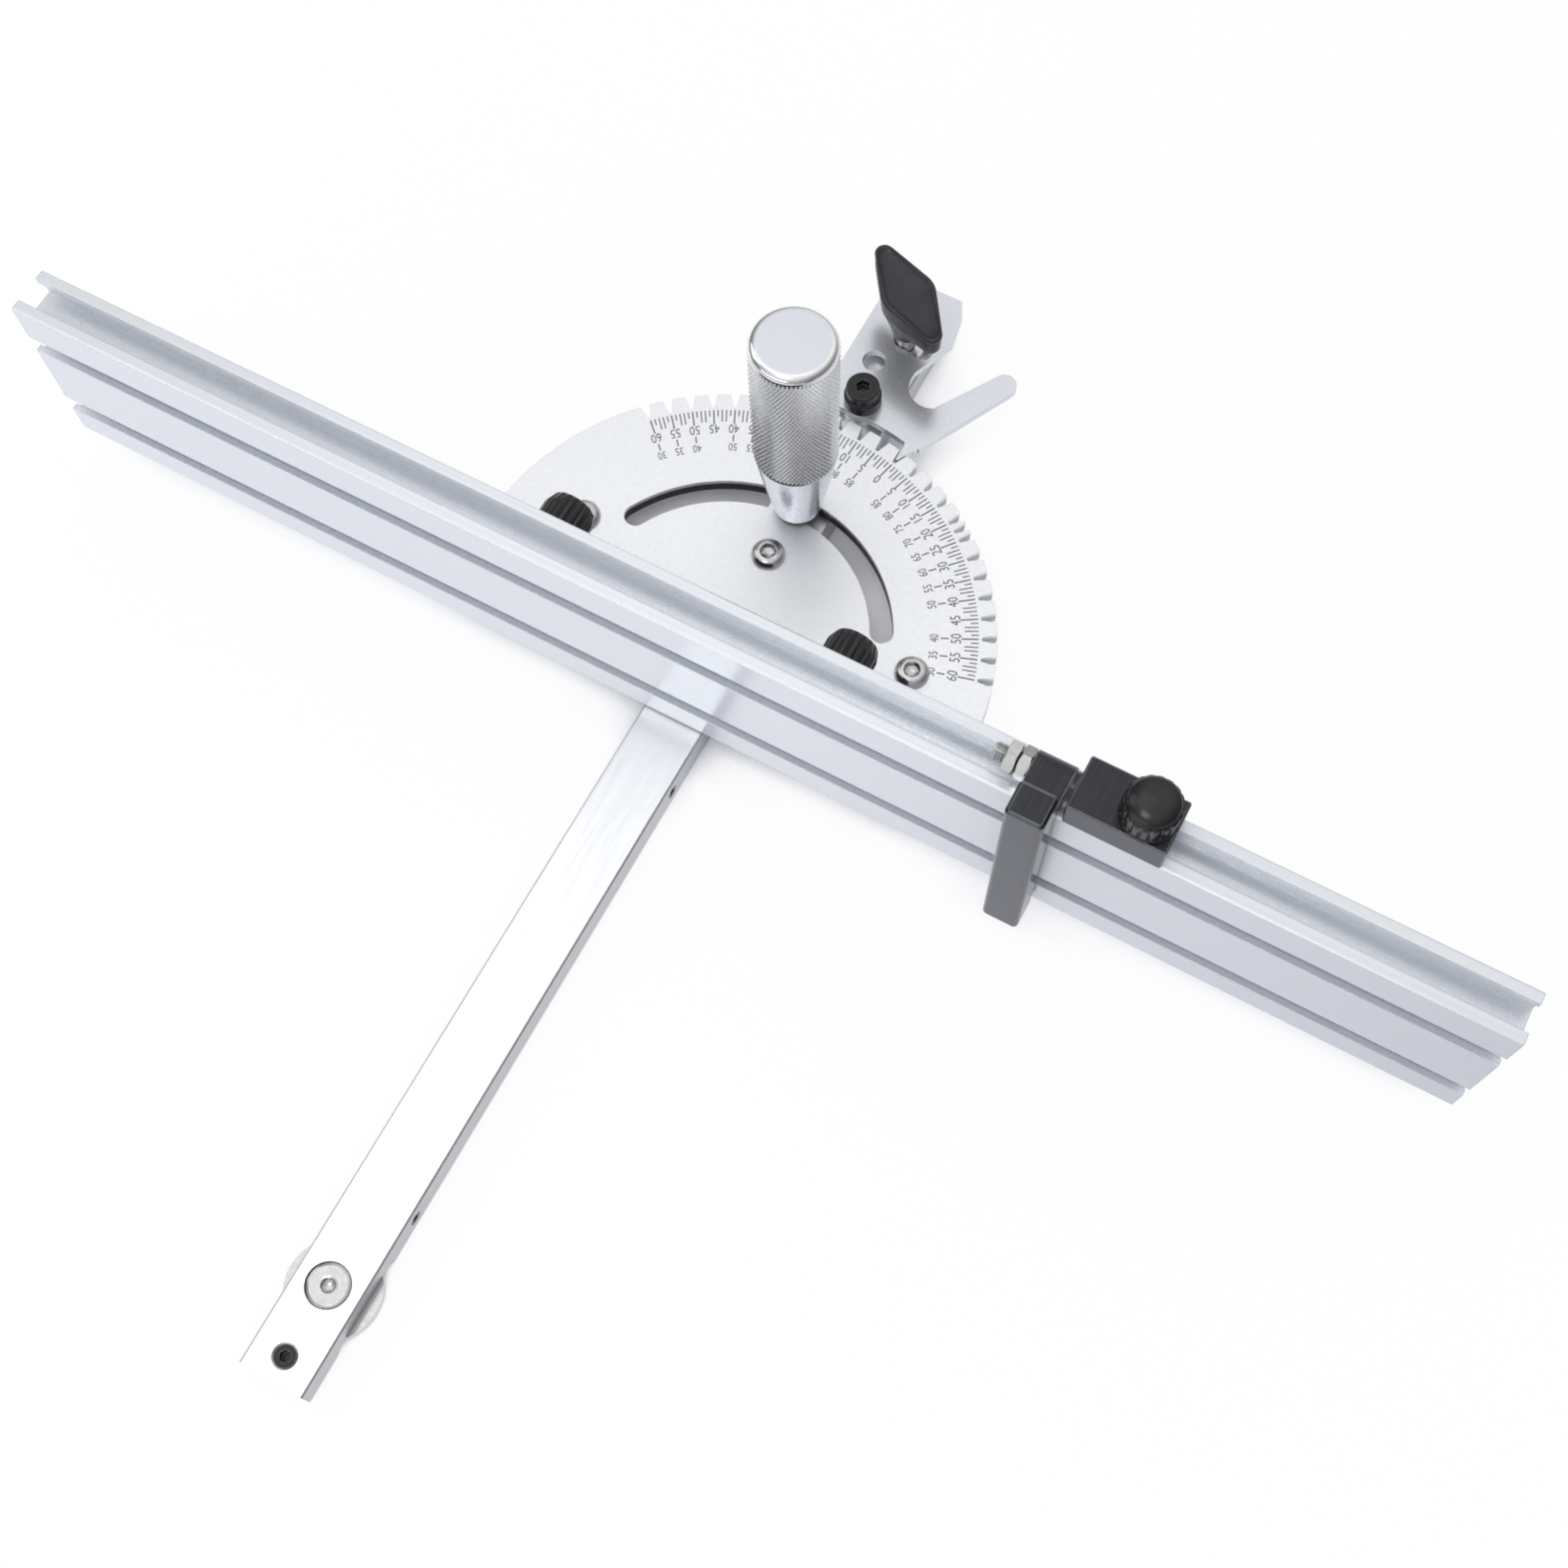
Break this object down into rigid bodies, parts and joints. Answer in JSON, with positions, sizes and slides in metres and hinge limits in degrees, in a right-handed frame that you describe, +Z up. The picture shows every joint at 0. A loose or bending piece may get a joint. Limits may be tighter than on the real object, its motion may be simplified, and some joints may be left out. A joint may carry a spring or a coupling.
{
  "type": "miter gauge",
  "caption": "Miter gauge with a slotted guide bar, a notched protractor head with clamp handle and index lever, and a T-slot fence that carries a flip stop.",
  "frame": {"origin": "the pivot axis of the protractor head where it meets the underside of the guide bar", "axes": "+Y along the guide bar away from the user, +X along the fence at 0 degrees to the right, +Z up"},
  "size_m": [0.436, 0.364, 0.099],
  "materials": {
    "bar": "frosted bright metal",
    "scale_face": "frosted clear anodised, dark engraved scale",
    "black_head": "black coated",
    "fence_metal": "satin clear anodised",
    "polished_handle": "polished, knurled grip",
    "index_zinc": "zinc plated",
    "bright_steel": "bright plated",
    "black_steel": "black oxide",
    "black_metal": "black anodised",
    "black_plastic": "moulded black"
  },
  "bodies": {
    "guide_bar": {"miter_bar": "bar", "keeper_washer": "bright_steel", "keeper_screw": "bright_steel", "levelling_set_screw": "black_steel", "side_set_screw_near": "black_steel", "side_set_screw_far": "black_steel", "pivot_screw": "black_steel", "index_pivot_screw": "black_steel", "index_bush": "black_steel", "index_spacer": "bright_steel", "wing_spacer": "bright_steel"},
    "protractor_head": {"protractor_base": "black_head", "scale_plate": "scale_face", "plate_screw_centre": "bright_steel", "plate_screw_left": "bright_steel", "plate_screw_right": "bright_steel", "fence_bolt_left": "bright_steel", "fence_bolt_right": "bright_steel"},
    "fence": {"fence_extrusion": "fence_metal"},
    "left_fence_knob": {"fence_knob_left": "black_plastic"},
    "right_fence_knob": {"fence_knob_right": "black_plastic"},
    "clamp": {"clamp_handle": "polished_handle", "clamp_stud": "bright_steel", "clamp_washer": "black_steel"},
    "index_lever": {"index_plate": "index_zinc"},
    "wing_lock": {"wing_knob": "black_plastic", "wing_stud": "bright_steel"},
    "stop_block": {"stop_carriage": "black_metal", "stop_t_nut": "bright_steel", "stop_stud": "bright_steel", "flip_axle": "bright_steel", "axle_collar": "black_metal", "axle_nut_inner": "bright_steel", "axle_nut_outer": "bright_steel"},
    "stop_lock_knob": {"stop_knob": "black_plastic"},
    "flip_stop_arm": {"flip_arm": "black_metal"}
  },
  "joints": [
    {"name": "miter_angle", "type": "hinge", "parent": "guide_bar", "child": "protractor_head", "pos_m": [0, 0, 0.0096], "axis": [0, 0, 1], "range_deg": [-60.05, 60.05]},
    {"name": "fence_shift", "type": "slide", "parent": "protractor_head", "child": "fence", "axis": [1, 0, 0], "range_m": [-0.1, 0.1]},
    {"name": "left_fence_knob_turn", "type": "hinge", "parent": "protractor_head", "child": "left_fence_knob", "pos_m": [-0.0434, -0.0113, 0.0512], "axis": [0, 1, 0], "range_deg": [0, 360]},
    {"name": "right_fence_knob_turn", "type": "hinge", "parent": "protractor_head", "child": "right_fence_knob", "pos_m": [0.0434, -0.0113, 0.0512], "axis": [0, 1, 0], "range_deg": [0, 360]},
    {"name": "clamp_handle_turn", "type": "hinge", "parent": "guide_bar", "child": "clamp", "pos_m": [0, 0.0454, 0.0144], "axis": [0, 0, 1], "range_deg": [0, 360]},
    {"name": "index_lever_swing", "type": "hinge", "parent": "guide_bar", "child": "index_lever", "pos_m": [0, 0.0862, 0.012], "axis": [0, 0, 1], "range_deg": [0, 14]},
    {"name": "wing_lock_turn", "type": "hinge", "parent": "guide_bar", "child": "wing_lock", "pos_m": [0.0015, 0.111, 0.0144], "axis": [0, 0, 1], "range_deg": [0, 360]},
    {"name": "stop_slide", "type": "slide", "parent": "fence", "child": "stop_block", "axis": [1, 0, 0], "range_m": [-0.29, 0.09]},
    {"name": "stop_knob_turn", "type": "hinge", "parent": "stop_block", "child": "stop_lock_knob", "pos_m": [0.1325, -0.0215, 0.0814], "axis": [0, 0, 1], "range_deg": [0, 360]},
    {"name": "stop_arm_flip", "type": "hinge", "parent": "stop_block", "child": "flip_stop_arm", "pos_m": [0.1071, -0.0215, 0.0764], "axis": [-1, 0, 0], "range_deg": [0, 180]}
  ]
}
